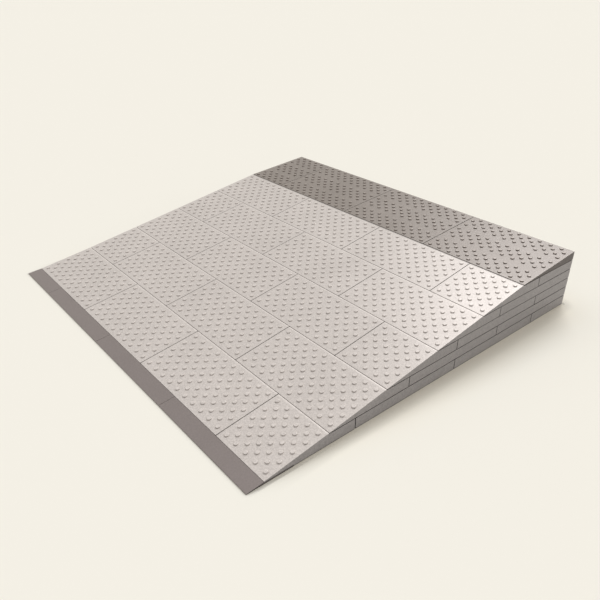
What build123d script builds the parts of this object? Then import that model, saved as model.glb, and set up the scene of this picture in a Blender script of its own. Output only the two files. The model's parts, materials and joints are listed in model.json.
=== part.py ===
"""Threshold ramp built up from studded, interlocking plastic modules.

Layers of modules are stacked like brickwork.  In each layer a wedge module makes one
studded row of the deck, and plain blocks carry the rows above.  Every wedge ends in a
flat tail that runs under the next row.  Lock plugs tie each layer to the one below.

Millimetres.  +X runs across the ramp, +Y up the slope, +Z up.  The origin is on the
floor, in the middle of the ramp's footprint.
"""
from build123d import *
from math import atan, degrees
import os

# Layout of the ramp
module_width = 215.0      # pitch of a full module across the ramp
full_modules = 3          # full modules in each row, beside one half module
row_depth = 107.5         # depth of deck shown by one row
row_count = 5             # rows of light modules, one layer each
layer_height = 18.0
tail_depth = 48.0         # flat tail of a wedge, under the next row
joint_gap = 1.2           # open joint between neighbouring modules
row_gap = 0.4             # close joint between rows of deck, and between approach strips

# Moulded sections
lip = 1.8                 # thickness of a wedge at its front edge
land = 3.2                # level band that ends the deck, just below the next row's lip
closing_rear = 16.5       # thickness of a closing wedge at its rear end
deck = 4.0                # deck over the hollow underside
wall = 3.0                # outer walls
rib = 2.4                 # ribs under the deck
core_start = 3.0          # least height of a hollow, at its front end
edge_break = 0.3          # chamfer on the outer edges
rebate = 1.2              # height of the rebate that parts the layers with a dark line
rebate_depth = 1.5        # depth of that rebate into the wall

# Approach strip along the foot of the ramp
strip_depth = 27.0        # sloping part in front of the first row
strip_tip = 0.8           # thickness of the foremost edge
tongue_depth = 46.0       # thin tongue under the first row
tongue = 1.8              # thickness of the tongue
tongue_play = 0.5         # room behind the tongue
peg_diameter = 10.0       # pegs that stand on the tongue
peg_inset = 16.0          # from the tongue's rear edge to the pegs

# Studs
studs_across = 10         # in a full row of a full module
stud_rows = 9             # on a light wedge
stud_bands = 3            # on a closing wedge
band_rows = 4             # stud rows in each of those bands
stud_diameter = 6.8
stud_height = 1.6
stud_root = 0.6           # part of the stud below the deck surface

# Lock plugs and their sockets
plug_diameter = 12.0
plug_down = 8.0           # length in the lower module
plug_chamfer = 0.8
lap_inset = 12.0          # from a tail's rear end to the plugs through it
socket_play = 0.15        # radial clearance of plugs and pegs
socket_end_play = 0.4     # room past the end of a plug or peg
socket_skin = 2.2         # least deck left above a socket
boss_wall = 3.5           # wall around a socket

# Sizes that follow
half_width = module_width / 2
ramp_width = (full_modules + 0.5) * module_width
wedge_depth = row_depth + tail_depth
ramp_length = strip_depth + row_count * row_depth + wedge_depth - joint_gap / 2
first_row_y = strip_depth - ramp_length / 2
rib_pitch = row_depth / 2
stud_pitch = module_width / studs_across
stud_step = row_depth / (stud_rows + 1)
deck_slope = layer_height / row_depth
first_slope = (layer_height - tongue) / row_depth
closing_slope = (closing_rear - lip) / wedge_depth
socket_radius = plug_diameter / 2 + socket_play
boss_radius = socket_radius + boss_wall
lap_y = tail_depth - lap_inset
block_socket_y = tail_depth + rib_pitch
socket_up = lip + deck_slope * (lap_y - socket_radius) - socket_skin
plug_up = socket_up - socket_end_play
socket_down = plug_down + socket_end_play
peg_y = tongue_depth - peg_inset
peg_socket_radius = peg_diameter / 2 + socket_play
peg_socket = lip + first_slope * (peg_y - peg_socket_radius) - socket_skin
peg_height = peg_socket - socket_end_play


def prism(profile, width):
    """Solid with the side profile (y, z), centred across X."""
    outline = Polyline(*[(0, y, z) for y, z in profile], close=True)
    return extrude(make_face(outline), width / 2, dir=(1, 0, 0), both=True)


def socket_columns(width):
    """Places across a module where plugs stand, one for each half module."""
    count = round(width / half_width)
    return [(n + 0.5) * half_width - width / 2 for n in range(count)]


def rib_columns(width):
    """Places across a module where ribs run, on the plugs and midway between them."""
    step = half_width / 2
    count = round(width / step)
    return [n * step - width / 2 for n in range(1, count)]


def hollow(core, width, rib_lines, boss_lines, reach):
    """The open cells under a deck: the core less its ribs and plug bosses."""
    length, height = 2 * reach, 4 * layer_height
    solid = [Pos(x, reach / 2, 0) * Box(rib, length, height) for x in rib_columns(width)]
    solid += [Pos(0, y, 0) * Box(2 * width, rib, height) for y in rib_lines]
    solid += [
        Pos(x, y, 0) * Cylinder(boss_radius, height)
        for x in socket_columns(width)
        for y in boss_lines
    ]
    return core - solid


def sockets(width, y, z, depth, radius, up):
    """Round blind holes in a line across a module, going up or down from height z."""
    middle = z + depth / 2 if up else z - depth / 2
    return [Pos(x, y, middle) * Cylinder(radius, depth) for x in socket_columns(width)]


def studs(width, front_z, slope, rows):
    """Studs square to a sloping deck, every second row set over by half a pitch."""
    tilt = Rot(X=degrees(atan(slope)))
    height = stud_height + stud_root
    stud = Pos(0, 0, height / 2 - stud_root) * Cylinder(stud_diameter / 2, height)
    columns = round(width / stud_pitch)
    placed = []
    for index, y in rows:
        inset = index % 2
        for column in range(columns - inset):
            x = (column + 0.5 + inset / 2) * stud_pitch - width / 2
            placed.append(Pos(x, y, front_z + slope * y) * tilt * stud)
    return placed


def light_rows():
    """Stud rows of a light wedge, as (index, distance from its front edge)."""
    return [(n, (n + 1) * stud_step) for n in range(stud_rows)]


def closing_rows():
    """Stud rows of a closing wedge: bands with one row left out between them."""
    last = stud_bands * (band_rows + 1) - 2
    margin = (wedge_depth - last * stud_step) / 2
    kept = [n for n in range(last + 1) if n % (band_rows + 1) < band_rows]
    return [(n, margin + n * stud_step) for n in kept]


def broken_edges(body, bend=0.0):
    """The outer edges of a moulding, lightly chamfered.

    Inner corners stay sharp, and so does the slight bend in a deck at the distance given.
    """
    outer = [edge for edge in body.edges() if not edge.is_interior]
    return chamfer([edge for edge in outer if abs(edge.center().Y - bend) > 0.01], edge_break)


def side_rebates(width, length):
    """Bars that cut a rebate along a module's lower edges, left and right."""
    bar = Box(2 * rebate_depth, 2 * length, 2 * rebate)
    edge = (width - joint_gap) / 2
    return [Pos(x, length / 2, 0) * bar for x in (-edge, edge)]


def end_rebate(width, y):
    """Bar that cuts the same rebate across a module's front or rear end."""
    return Pos(0, y, 0) * Box(width, 2 * rebate_depth, 2 * rebate)


def wedge(width):
    """Light wedge module: sloping studded deck, a land, a step, and a flat tail."""
    front = row_gap / 2
    step = row_depth - row_gap / 2
    bend = step - land
    rear = wedge_depth - joint_gap / 2
    profile = [
        (front, 0),
        (rear, 0),
        (rear, layer_height),
        (step, layer_height),
        (step, lip + deck_slope * bend),
        (bend, lip + deck_slope * bend),
        (front, lip + deck_slope * front),
    ]
    body = broken_edges(prism(profile, width - joint_gap), bend)
    core_front = (core_start + deck - lip) / deck_slope
    core_bend = (layer_height - lip) / deck_slope
    core = prism(
        [
            (core_front, 0),
            (rear - wall, 0),
            (rear - wall, layer_height - deck),
            (core_bend, layer_height - deck),
            (core_front, core_start),
        ],
        width - joint_gap - 2 * wall,
    )
    body -= side_rebates(width, wedge_depth)
    tail_y = row_depth + lap_y
    rib_lines = [tail_depth, block_socket_y]
    body -= hollow(core, width, rib_lines, [lap_y, block_socket_y, tail_y], wedge_depth)
    body -= sockets(width, lap_y, 0, socket_up, socket_radius, True)
    body -= sockets(width, block_socket_y, 0, socket_up, socket_radius, True)
    body -= sockets(width, tail_y, layer_height, socket_down, socket_radius, False)
    return body + studs(width, lip, deck_slope, light_rows())


def first_wedge(width):
    """Wedge of the first row, recessed underneath for the approach strip's tongue."""
    front = row_gap / 2
    step = row_depth - row_gap / 2
    bend = step - land
    rear = wedge_depth - joint_gap / 2
    foot = tongue_depth + tongue_play
    front_z = tongue + lip
    profile = [
        (front, tongue),
        (foot, tongue),
        (foot, 0),
        (rear, 0),
        (rear, layer_height),
        (step, layer_height),
        (step, front_z + first_slope * bend),
        (bend, front_z + first_slope * bend),
        (front, front_z + first_slope * front),
    ]
    body = broken_edges(prism(profile, width - joint_gap), bend)
    core_front = foot + wall
    core_bend = (layer_height - front_z) / first_slope
    core = prism(
        [
            (core_front, 0),
            (rear - wall, 0),
            (rear - wall, layer_height - deck),
            (core_bend, layer_height - deck),
            (core_front, front_z + first_slope * core_front - deck),
        ],
        width - joint_gap - 2 * wall,
    )
    tail_y = row_depth + lap_y
    body -= hollow(core, width, [block_socket_y], [tail_y], wedge_depth)
    body -= sockets(width, tail_y, layer_height, socket_down, socket_radius, False)
    body -= sockets(width, peg_y, tongue, peg_socket, peg_socket_radius, True)
    return body + studs(width, front_z, first_slope, light_rows())


def closing_wedge(width):
    """Dark wedge that ends the ramp at the sill, with a flatter slope and no tail."""
    front = row_gap / 2
    rear = wedge_depth - joint_gap / 2
    profile = [
        (front, 0),
        (rear, 0),
        (rear, lip + closing_slope * rear),
        (front, lip + closing_slope * front),
    ]
    body = broken_edges(prism(profile, width - joint_gap))
    core_front = (core_start + deck - lip) / closing_slope
    core = prism(
        [
            (core_front, 0),
            (rear - wall, 0),
            (rear - wall, lip + closing_slope * (rear - wall) - deck),
            (core_front, core_start),
        ],
        width - joint_gap - 2 * wall,
    )
    body -= side_rebates(width, wedge_depth)
    body -= end_rebate(width, rear)
    body -= hollow(core, width, [block_socket_y], [block_socket_y], wedge_depth)
    body -= sockets(width, block_socket_y, 0, socket_up, socket_radius, True)
    return body + studs(width, lip, closing_slope, closing_rows())


def block(width, depth, on_floor):
    """Plain support block, ribbed underneath, with plug sockets on the rib crossings."""
    front = joint_gap / 2
    rear = depth - joint_gap / 2
    outline = [(front, 0), (rear, 0), (rear, layer_height), (front, layer_height)]
    body = broken_edges(prism(outline, width - joint_gap))
    ceiling = layer_height - deck
    inside = [
        (front + wall, 0),
        (rear - wall, 0),
        (rear - wall, ceiling),
        (front + wall, ceiling),
    ]
    core = prism(inside, width - joint_gap - 2 * wall)
    rib_lines = [n * rib_pitch for n in range(1, round(depth / rib_pitch))]
    boss_lines = rib_lines[::2]
    body -= hollow(core, width, rib_lines, boss_lines, depth)
    for y in boss_lines:
        body -= sockets(width, y, layer_height, socket_down, socket_radius, False)
        if not on_floor:
            body -= sockets(width, y, 0, socket_up, socket_radius, True)
    if not on_floor:
        body -= side_rebates(width, depth)
        body -= [end_rebate(width, y) for y in (front, rear)]
    return body


def approach_strip(width):
    """Dark strip at the foot: a thin ramp, and a tongue with pegs under the first row."""
    step = -row_gap / 2
    strip_slope = (tongue + lip - strip_tip) / strip_depth
    profile = [
        (-strip_depth, 0),
        (tongue_depth, 0),
        (tongue_depth, tongue),
        (step, tongue),
        (step, tongue + lip + strip_slope * step),
        (-strip_depth, strip_tip),
    ]
    body = prism(profile, width - row_gap)
    pegs = [
        Pos(x, peg_y, tongue + peg_height / 2) * Cylinder(peg_diameter / 2, peg_height)
        for x in socket_columns(width)
    ]
    return body + pegs


def lock_plug():
    """Double-ended plug, standing half in each of two layers; z = 0 is their joint."""
    length = plug_up + plug_down
    plug = Pos(0, 0, (plug_up - plug_down) / 2) * Cylinder(plug_diameter / 2, length)
    return chamfer(plug.edges().filter_by(GeomType.CIRCLE), plug_chamfer)


def bond(course):
    """Module widths and centres across a course; the half module changes ends."""
    odd = course % 2 == 1
    widths = [module_width] * full_modules
    widths = widths + [half_width] if odd else [half_width] + widths
    edge = -ramp_width / 2
    places = []
    for width in widths:
        places.append((width, edge + width / 2))
        edge += width
    return places


def lay(course, y, z, make, name, nodes):
    """Lay one course of modules, each as a node of its own."""
    full, half = make(module_width), make(half_width)
    number = 1
    for width, x in bond(course):
        if width == half_width:
            nodes[f"{name}_half"] = Pos(x, y, z) * half
        else:
            nodes[f"{name}_{number}"] = Pos(x, y, z) * full
            number += 1


def lay_blocks(nodes):
    """Lay the support blocks behind each wedge, deep ones first, then a short one."""
    depths = {"deep": 2 * row_depth, "short": row_depth}
    half_blocks = {size: [] for size in depths}
    made = {}
    for layer in range(1, row_count + 1):
        y = first_row_y + layer * row_depth + tail_depth
        rows_left = row_count + 1 - layer
        bays = ["deep"] * (rows_left // 2) + ["short"] * (rows_left % 2)
        for bay, size in enumerate(bays, start=1):
            number = 1
            for width, x in bond(layer):
                kind = (width, size, layer == 1)
                if kind not in made:
                    made[kind] = block(width, depths[size], layer == 1)
                placed = Pos(x, y, (layer - 1) * layer_height) * made[kind]
                if width == half_width:
                    half_blocks[size].append(placed)
                else:
                    nodes[f"layer{layer}_bay{bay}_block_{number}"] = placed
                    number += 1
            y += depths[size]
    for size, placed in half_blocks.items():
        nodes[f"half_width_{size}_blocks"] = Compound(children=placed)


def lay_plugs(nodes):
    """Set the lock plugs: through the tails, and on the sockets of the blocks."""
    plug = lock_plug()
    columns = socket_columns(ramp_width)
    lap_plugs, block_plugs = [], []
    for layer in range(1, row_count + 1):
        y = first_row_y + layer * row_depth
        z = layer * layer_height
        if layer < row_count:
            lap_plugs += [Pos(x, y + lap_y, z) * plug for x in columns]
        for row in range(row_count + 1 - layer):
            socket_y = y + block_socket_y + row * row_depth
            block_plugs += [Pos(x, socket_y, z) * plug for x in columns]
    nodes["lap_plugs"] = Compound(children=lap_plugs)
    nodes["block_plugs"] = Compound(children=block_plugs)


def ramp():
    """All the pieces of the ramp, by node name."""
    nodes = {}
    lay(0, first_row_y, 0, approach_strip, "approach_strip", nodes)
    lay(1, first_row_y, 0, first_wedge, "row1_wedge", nodes)
    for row in range(2, row_count + 1):
        y = first_row_y + (row - 1) * row_depth
        lay(row, y, (row - 1) * layer_height, wedge, f"row{row}_wedge", nodes)
    closing_y = first_row_y + row_count * row_depth
    closing_z = row_count * layer_height
    lay(row_count + 1, closing_y, closing_z, closing_wedge, "closing_wedge", nodes)
    lay_blocks(nodes)
    lay_plugs(nodes)
    return nodes


os.makedirs("parts", exist_ok=True)
for name, shape in ramp().items():
    export_step(shape, f"parts/{name}.step")
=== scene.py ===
"""Looks of the threshold ramp: softened mouldings, procedural plastics, studio and camera.

Metres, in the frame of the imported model: +X across the ramp, +Y up the slope, +Z up.
"""
import json
import random
from math import cos, radians, sin

import bmesh
import bpy
from mathutils import Matrix, Vector


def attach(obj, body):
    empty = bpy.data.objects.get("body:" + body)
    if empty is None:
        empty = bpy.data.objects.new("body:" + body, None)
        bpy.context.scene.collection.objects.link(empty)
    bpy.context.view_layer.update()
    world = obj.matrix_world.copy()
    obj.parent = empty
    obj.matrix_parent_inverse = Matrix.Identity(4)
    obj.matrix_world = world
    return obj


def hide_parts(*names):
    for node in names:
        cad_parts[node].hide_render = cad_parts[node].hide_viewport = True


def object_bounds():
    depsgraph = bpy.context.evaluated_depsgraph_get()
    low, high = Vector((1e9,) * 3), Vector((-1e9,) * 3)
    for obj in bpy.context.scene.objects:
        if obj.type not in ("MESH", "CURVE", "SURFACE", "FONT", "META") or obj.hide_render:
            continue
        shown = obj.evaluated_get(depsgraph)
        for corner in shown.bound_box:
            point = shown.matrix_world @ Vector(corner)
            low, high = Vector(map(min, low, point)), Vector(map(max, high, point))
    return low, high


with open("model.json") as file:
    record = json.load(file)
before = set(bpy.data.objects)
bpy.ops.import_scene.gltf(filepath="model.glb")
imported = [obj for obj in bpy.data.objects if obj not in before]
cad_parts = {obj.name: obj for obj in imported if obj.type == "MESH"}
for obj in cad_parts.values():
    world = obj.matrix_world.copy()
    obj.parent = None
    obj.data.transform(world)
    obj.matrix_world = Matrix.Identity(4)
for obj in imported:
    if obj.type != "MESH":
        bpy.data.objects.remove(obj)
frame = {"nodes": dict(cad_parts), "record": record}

cad_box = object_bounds()
scene = bpy.context.scene
MM = 0.001

# Camera; its azimuth runs from -Y towards +X
VIEW_AZIMUTH = radians(49.891)
VIEW_ELEVATION = radians(29.566)
VIEW_ROLL = radians(0.253)
VIEW_PLACE = Vector((0.81201, -0.64401, 0.56127))
LENS_MM = 36.477
SENSOR_MM = 36.0
CLIP_START = 0.01
CLIP_END = 100.0

# Rounding of the mouldings
WELD = 0.002 * MM
FLAT_ANGLE = radians(1)
SHARP_ANGLE = radians(55)
EDGE_ROUND = 0.45 * MM
EDGE_STEPS = 2
STUD_ROUND = 0.7 * MM
STUD_STEPS = 3
ROUND_PROFILE = 0.5
STUD_TOP = 1.0 * MM

# Cosines that tell faces apart by the way they look
PARALLEL = 0.9995
LEVEL = 0.9999
UPWARD = 0.9
DEEP_SHADE_FACING = 0.35

# Wear with a painted highlight, and a deeper painted shade, by face
# Stud tops lighter by wear and a painted highlight
STUD_WEAR_AND_HIGHLIGHT = 0.8
RUB_DEPTH = 1.2 * MM
OUTER_SKIN = 1.0 * MM
# Deeper painted shade on the lands, most on those below the last lip
LAND_DEEP_SHADE = 0.5
LAST_ROW = "row5_wedge"
LAST_LAND_DEEP_SHADE = 1.85

# Plastics, as linear colours
LIGHT_GREY = (0.57, 0.523, 0.49)
DARK_GREY = (0.184, 0.156, 0.138)
STRIP_GREY = (0.18, 0.153, 0.147)
PLUG_GREY = (0.03, 0.03, 0.03)
GLOSS_TINT = (1.0, 0.9, 0.86)
GLOSS_IOR = 1.6
MODULE_ROUGHNESS = 0.33
STRIP_ROUGHNESS = 0.4
PLUG_ROUGHNESS = 0.45
ROUGH_SPREAD = 0.04
NOISE_LOW = 0.3
NOISE_HIGH = 0.7
GRAIN = 0.15
STRIP_GRAIN = 0.07
GRAIN_SCALE = 430.0
GRAIN_DETAIL = 3.0
BUMP_STRENGTH = 0.2
BUMP_HEIGHT = 0.15 * MM
MOTTLE = 0.025
MOTTLE_SCALE = 14.0
MOTTLE_DETAIL = 4.0
TONE_SPREAD = 0.015
# Lightening of marked faces: wear, and a painted highlight on stud tops and lands
LIGHT_WEAR_AND_HIGHLIGHT = 1.12
DARK_WEAR_AND_HIGHLIGHT = 1.4
# Painted shade in corners, creases and joints, from openness, deepened on marked faces
DEEP_SHADE_AMOUNT = 0.4
CORNER_REACH = 2.5 * MM
CORNER_SHUT = 0.15
CORNER_OPEN = 0.42
CORNER_SHADE = 0.05
OPENNESS_SAMPLES = 16

# Floor
FLOOR_SIZE = 40.0
FLOOR_DROP = 0.02 * MM
FLOOR_CREAM = (0.88, 0.846, 0.762)
SHADOW_CREAM = (0.933, 0.846, 0.678)
BOUNCE_GREY = (0.25, 0.25, 0.25)
FLOOR_MIRRORED = 0.5
# Painted shadow on the floor: darker in the crevice under the ramp and along its low edges, warmer near
# it
CREVICE_REACH = 2.5 * MM
CREVICE_SHUT = 0.2
CREVICE_OPEN = 0.6
CREVICE_SHADE = 0.15
SHADOW_REACH = 70 * MM
TALL_OPEN = 0.58
LOW_OPEN = 0.8
FOOT_REACH = 25 * MM
FOOT_SHADE = 1.25
RIM_REACH = 6.5 * MM
RIM_OPEN = 0.94
RIM_SHADE = 0.28

# Lamps and backdrop; the lamps' azimuths run from +Y towards +X
KEY_AZIMUTH = radians(-25.5)
KEY_ELEVATION = radians(47.5)
KEY_SPREAD = radians(29)
KEY_POWER = 1.7
FILL_AZIMUTH = radians(-110)
FILL_ELEVATION = radians(64)
FILL_SPREAD = radians(60)
FILL_POWER = 0.48
SIDE_AZIMUTH = radians(75)
SIDE_ELEVATION = radians(35)
SIDE_SPREAD = radians(90)
SIDE_POWER = 0.3
SKY_WHITE = (1.0, 1.0, 1.0)
SKY_LEVEL = 0.44
WALL_LEVEL = 1.029
WALL_MIRRORED = 1.0


class Graph:
    """A node tree, with short calls to add nodes and join them."""

    def __init__(self, owner):
        owner.use_nodes = True
        self.tree = owner.node_tree
        self.tree.nodes.clear()

    def add(self, kind, inputs=None, **settings):
        """Add a node; an input is either another node's socket or a plain value."""
        made = self.tree.nodes.new(kind)
        for name, value in settings.items():
            setattr(made, name, value)
        for name, value in (inputs or {}).items():
            if isinstance(value, bpy.types.NodeSocket):
                self.tree.links.new(value, made.inputs[name])
            else:
                made.inputs[name].default_value = value
        return made

    def attribute(self, name):
        """A number that the mesh holds for each face."""
        return self.add("ShaderNodeAttribute", attribute_name=name).outputs["Fac"]

    def noise(self, place, scale, detail):
        """Soft noise from 0 to 1, with its scale in waves per metre."""
        made = self.add("ShaderNodeTexNoise", {"Vector": place, "Scale": scale, "Detail": detail})
        return made.outputs["Fac"]

    def span(self, value, low, high, to_low, to_high):
        """Carry a value from one range into another, held at the ends."""
        made = self.add("ShaderNodeMapRange", {
            "Value": value, "From Min": low, "From Max": high, "To Min": to_low, "To Max": to_high,
        })
        return made.outputs["Result"]

    def math(self, operation, first, second):
        """The result of one operation on two values."""
        made = self.add("ShaderNodeMath", {0: first, 1: second}, operation=operation)
        return made.outputs["Value"]

    def seen(self, mirrored):
        """1 where a surface is looked at, and a set share of that where a gloss mirrors it."""
        path = self.add("ShaderNodeLightPath")
        gloss = self.math("MULTIPLY", path.outputs["Is Glossy Ray"], mirrored)
        return self.math("MAXIMUM", path.outputs["Is Camera Ray"], gloss)

    def openness(self, reach):
        """1 in the open, and less where other surfaces stand within reach."""
        made = self.add("ShaderNodeAmbientOcclusion", {"Distance": reach}, samples=OPENNESS_SAMPLES)
        return made.outputs["AO"]

    def shade(self, colour, factor):
        """A colour made lighter or darker by a factor around 1."""
        made = self.add("ShaderNodeVectorMath", {0: colour, "Scale": factor}, operation="SCALE")
        return made.outputs["Vector"]


def plastic(name, colour, roughness, sandy, wear_and_highlight_level):
    """Moulded plastic: sandy grain, soft mottling, painted shade in corners and joints, and faces
    lighter by wear and a painted highlight.
    """
    material = bpy.data.materials.new(name)
    graph = Graph(material)
    place = graph.add("ShaderNodeTexCoord").outputs["Object"]
    grain = graph.noise(place, GRAIN_SCALE, GRAIN_DETAIL)
    mottle = graph.noise(place, MOTTLE_SCALE, MOTTLE_DETAIL)
    tone = graph.attribute("tone")
    wear_and_highlight = graph.attribute("wear_and_highlight")
    deep_shade = graph.attribute("deep_shade")
    # Painted shade: darker where other surfaces stand close, more so on marked faces
    shade_deepening = graph.math("MULTIPLY", deep_shade, DEEP_SHADE_AMOUNT)
    corner = graph.math("SUBTRACT", graph.openness(CORNER_REACH), shade_deepening)
    factor = graph.span(grain, NOISE_LOW, NOISE_HIGH, 1 - sandy, 1 + sandy)
    clouds = graph.span(mottle, NOISE_LOW, NOISE_HIGH, 1 - MOTTLE, 1 + MOTTLE)
    factor = graph.math("MULTIPLY", factor, clouds)
    batch = graph.span(tone, -1.0, 1.0, 1 - TONE_SPREAD, 1 + TONE_SPREAD)
    factor = graph.math("MULTIPLY", factor, batch)
    # Marked faces lighter: wear, and a painted highlight
    wear_and_highlight_factor = graph.span(wear_and_highlight, 0.0, 1.0, 1.0, wear_and_highlight_level)
    factor = graph.math("MULTIPLY", factor, wear_and_highlight_factor)
    corner_shade = graph.span(corner, CORNER_SHUT, CORNER_OPEN, CORNER_SHADE, 1.0)
    factor = graph.math("MULTIPLY", factor, corner_shade)
    shaded = graph.shade(colour, factor)
    rough = graph.span(mottle, NOISE_LOW, NOISE_HIGH, roughness - ROUGH_SPREAD, roughness + ROUGH_SPREAD)
    bump = graph.add("ShaderNodeBump", {
        "Strength": BUMP_STRENGTH, "Distance": BUMP_HEIGHT, "Height": grain,
    })
    shader = graph.add("ShaderNodeBsdfPrincipled", {
        "Base Color": shaded, "Roughness": rough, "Normal": bump.outputs["Normal"],
        "IOR": GLOSS_IOR, "Specular Tint": (*GLOSS_TINT, 1),
    })
    graph.add("ShaderNodeOutputMaterial", {"Surface": shader.outputs["BSDF"]})
    return material


def deck_plane(shape):
    """A point on the deck and its normal: the largest tilted face, or on a block the level top."""
    upward = [face for face in shape.faces if face.normal.z > UPWARD]
    deck = max(upward, key=lambda face: (face.normal.z < LEVEL, face.calc_area()))
    return deck.calc_center_median(), deck.normal.copy()


def stud_tops(shape, foot, up):
    """The faces that lie along the deck, but a stud's height above it."""
    along = [face for face in shape.faces if face.normal.dot(up) > PARALLEL]
    return [face for face in along if (face.calc_center_median() - foot).dot(up) > STUD_TOP]


def mark_wear_and_shade(shape, foot, up, land_deep_shade, wear_and_highlight, deep_shade):
    """Keep the wear, with its painted highlight, to what feet and wheels reach, lands included, and mark
    a deeper painted shade elsewhere.

    Faces of the walked deck that are not level, such as the walls of its joints, get none of the deeper
    painted shade.
    The lands get some, and those below the last lip, at the end of the climb, get the most.
    """
    walked = up.z < LEVEL
    for face in shape.faces:
        centre = face.calc_center_median()
        if walked and (centre - foot).dot(up) > -RUB_DEPTH:
            if face.normal.z > LEVEL:
                face[wear_and_highlight] = 1.0
                face[deep_shade] = land_deep_shade
            continue
        outside = abs(centre.x) > cad_box[1][0] - OUTER_SKIN
        face[wear_and_highlight] = 0.0
        face[deep_shade] = not walked or outside or face.normal.z > DEEP_SHADE_FACING


def rub_and_highlight(shape, edges, radius, steps, wear_and_highlight):
    """Round a set of edges, and mark the new faces to be lightened by wear and a painted highlight."""
    rounded = bmesh.ops.bevel(
        shape, geom=list(edges), offset=radius, offset_type="OFFSET", segments=steps,
        profile=ROUND_PROFILE, affect="EDGES", clamp_overlap=True,
    )
    for face in rounded["faces"]:
        face[wear_and_highlight] = 1.0


def moulding(name, node, material, land_deep_shade):
    """A piece for one CAD solid, with whole flat faces and rounded outer edges."""
    shape = bmesh.new()
    shape.from_mesh(node.data)
    bmesh.ops.remove_doubles(shape, verts=shape.verts, dist=WELD)
    bmesh.ops.dissolve_limit(shape, angle_limit=FLAT_ANGLE, verts=shape.verts, edges=shape.edges)
    wear_and_highlight = shape.faces.layers.float.new("wear_and_highlight")
    deep_shade = shape.faces.layers.float.new("deep_shade")
    tone = shape.faces.layers.float.new("tone")
    foot, up = deck_plane(shape)
    rims = {edge for top in stud_tops(shape, foot, up) for edge in top.edges}
    outer = [edge for edge in shape.edges if edge.calc_face_angle_signed(0) > SHARP_ANGLE]
    outer = [edge for edge in outer if edge not in rims]
    rub_and_highlight(shape, outer, EDGE_ROUND, EDGE_STEPS, wear_and_highlight)
    rims = {edge for top in stud_tops(shape, foot, up) for edge in top.edges}
    rub_and_highlight(shape, rims, STUD_ROUND, STUD_STEPS, wear_and_highlight)
    # Stud tops lighter: wear, and a painted highlight
    for face in stud_tops(shape, foot, up):
        face[wear_and_highlight] = STUD_WEAR_AND_HIGHLIGHT
    mark_wear_and_shade(shape, foot, up, land_deep_shade, wear_and_highlight, deep_shade)
    level = random.Random(name).uniform(-1, 1)
    for face in shape.faces:
        face[tone] = level
        face.smooth = True
    for edge in shape.edges:
        edge.smooth = edge.calc_face_angle(0) < SHARP_ANGLE
    mesh = bpy.data.meshes.new(f"{name}_moulding")
    shape.to_mesh(mesh)
    shape.free()
    mesh.materials.append(material)
    piece = bpy.data.objects.new(f"{name}_moulding", mesh)
    scene.collection.objects.link(piece)
    piece.modifiers.new("even_normals", "WEIGHTED_NORMAL").keep_sharp = True
    return piece


def dress():
    """Put a moulding over every module, and a finish on the plugs inside."""
    finishes = {
        "light_plastic": plastic("light_plastic", LIGHT_GREY, MODULE_ROUGHNESS, GRAIN, LIGHT_WEAR_AND_HIGHLIGHT),
        "dark_plastic": plastic("dark_plastic", DARK_GREY, MODULE_ROUGHNESS, GRAIN, DARK_WEAR_AND_HIGHLIGHT),
        "plug_plastic": plastic("plug_plastic", PLUG_GREY, PLUG_ROUGHNESS, GRAIN, LIGHT_WEAR_AND_HIGHLIGHT),
    }
    strip_finish = plastic("strip_plastic", STRIP_GREY, STRIP_ROUGHNESS, STRIP_GRAIN, LIGHT_WEAR_AND_HIGHLIGHT)
    for part in frame["record"]["subparts"]:
        name, slot = part["node"], part["material_slot"]
        node = frame["nodes"][name]
        if slot == "plug_plastic":
            node.data.materials.clear()
            node.data.materials.append(finishes[slot])
            continue
        finish = strip_finish if name.startswith("approach_strip") else finishes[slot]
        # The last row's lands get the deepest painted shade
        land_deep_shade = LAST_LAND_DEEP_SHADE if name.startswith(LAST_ROW) else LAND_DEEP_SHADE
        piece = moulding(name, node, finish, land_deep_shade)
        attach(piece, "root")
        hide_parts(name)


def lay_floor():
    """A plain cream floor, out past the horizon, that throws a neutral light back.

    The cream carries a painted shadow: warmer close to the ramp, and darker in the crevice under it
    and along the edges that stand low over the floor.
    """
    half = FLOOR_SIZE / 2
    mesh = bpy.data.meshes.new("floor")
    outline = [(-half, -half), (half, -half), (half, half), (-half, half)]
    mesh.from_pydata([(x, y, -FLOOR_DROP) for x, y in outline], [], [(0, 1, 2, 3)])
    material = bpy.data.materials.new("floor_cream")
    graph = Graph(material)
    # Painted shadow: darker in the crevice and along low edges, and a warmer cream near the ramp
    crevice = graph.span(graph.openness(CREVICE_REACH), CREVICE_SHUT, CREVICE_OPEN, CREVICE_SHADE, 1.0)
    wide = graph.openness(SHADOW_REACH)
    low_edge = graph.span(wide, TALL_OPEN, LOW_OPEN, 0.0, 1.0)
    near = graph.span(graph.openness(FOOT_REACH), 0.0, 1.0, FOOT_SHADE, 0.0)
    rim = graph.span(graph.openness(RIM_REACH), RIM_OPEN, 1.0, RIM_SHADE, 0.0)
    near = graph.math("ADD", near, rim)
    foot = graph.math("SUBTRACT", 1.0, graph.math("MULTIPLY", near, low_edge))
    contact = graph.math("MULTIPLY", crevice, foot)
    shadow_tint = graph.add("ShaderNodeMixRGB", {
        "Fac": wide, "Color1": (*SHADOW_CREAM, 1), "Color2": (*FLOOR_CREAM, 1),
    })
    shaded = graph.shade(shadow_tint.outputs["Color"], contact)
    cream = graph.add("ShaderNodeBsdfDiffuse", {"Color": shaded})
    bounce = graph.add("ShaderNodeBsdfDiffuse", {"Color": (*BOUNCE_GREY, 1)})
    both = graph.add("ShaderNodeMixShader", {
        0: graph.seen(FLOOR_MIRRORED), 1: bounce.outputs["BSDF"], 2: cream.outputs["BSDF"],
    })
    graph.add("ShaderNodeOutputMaterial", {"Surface": both.outputs["Shader"]})
    mesh.materials.append(material)
    floor = bpy.data.objects.new("floor", mesh)
    scene.collection.objects.link(floor)


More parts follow.
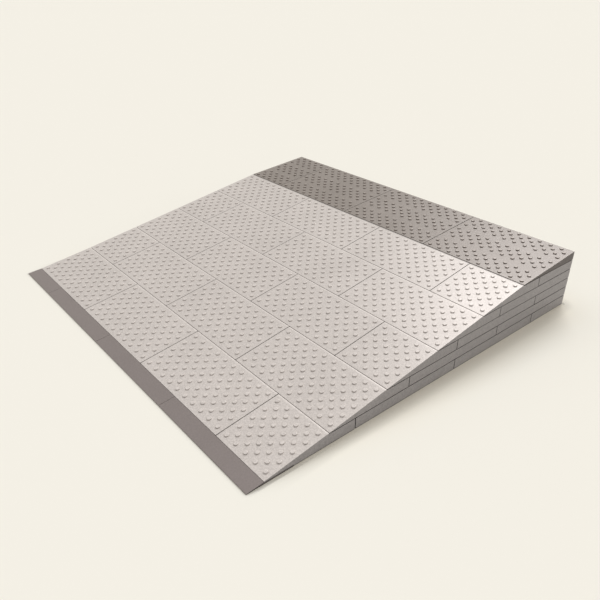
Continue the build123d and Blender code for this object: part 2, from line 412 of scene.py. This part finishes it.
def add_sun(name, azimuth, elevation, spread, power):
    """A wide soft lamp, even over the whole floor."""
    lamp = bpy.data.lights.new(name, "SUN")
    lamp.energy = power
    lamp.angle = spread
    sun = bpy.data.objects.new(name, lamp)
    level = cos(elevation)
    away = Vector((sin(azimuth) * level, cos(azimuth) * level, sin(elevation)))
    sun.rotation_euler = away.to_track_quat("Z", "Y").to_euler()
    scene.collection.objects.link(sun)


def light_studio():
    """A key from behind, broad fills from the left and the right, and an even sky."""
    add_sun("key", KEY_AZIMUTH, KEY_ELEVATION, KEY_SPREAD, KEY_POWER)
    add_sun("fill", FILL_AZIMUTH, FILL_ELEVATION, FILL_SPREAD, FILL_POWER)
    add_sun("side", SIDE_AZIMUTH, SIDE_ELEVATION, SIDE_SPREAD, SIDE_POWER)
    world = bpy.data.worlds.new("studio")
    scene.world = world
    graph = Graph(world)
    sky = graph.add("ShaderNodeBackground", {"Color": (*SKY_WHITE, 1), "Strength": SKY_LEVEL})
    wall = graph.add("ShaderNodeBackground", {"Color": (*FLOOR_CREAM, 1), "Strength": WALL_LEVEL})
    both = graph.add("ShaderNodeMixShader", {
        0: graph.seen(WALL_MIRRORED), 1: sky.outputs["Background"], 2: wall.outputs["Background"],
    })
    graph.add("ShaderNodeOutputWorld", {"Surface": both.outputs["Shader"]})
    scene.view_settings.view_transform = "Standard"


def place_camera():
    """The photograph's viewpoint."""
    level = cos(VIEW_ELEVATION)
    back = Vector((sin(VIEW_AZIMUTH) * level, -cos(VIEW_AZIMUTH) * level, sin(VIEW_ELEVATION)))
    upright = back.to_track_quat("Z", "Y").to_matrix().to_4x4()
    lens = bpy.data.cameras.new("camera")
    lens.lens = LENS_MM
    lens.sensor_width = SENSOR_MM
    lens.clip_start = CLIP_START
    lens.clip_end = CLIP_END
    camera = bpy.data.objects.new("camera", lens)
    camera.matrix_world = Matrix.Translation(VIEW_PLACE) @ upright @ Matrix.Rotation(VIEW_ROLL, 4, "Z")
    scene.collection.objects.link(camera)
    scene.camera = camera


dress()
lay_floor()
light_studio()
place_camera()
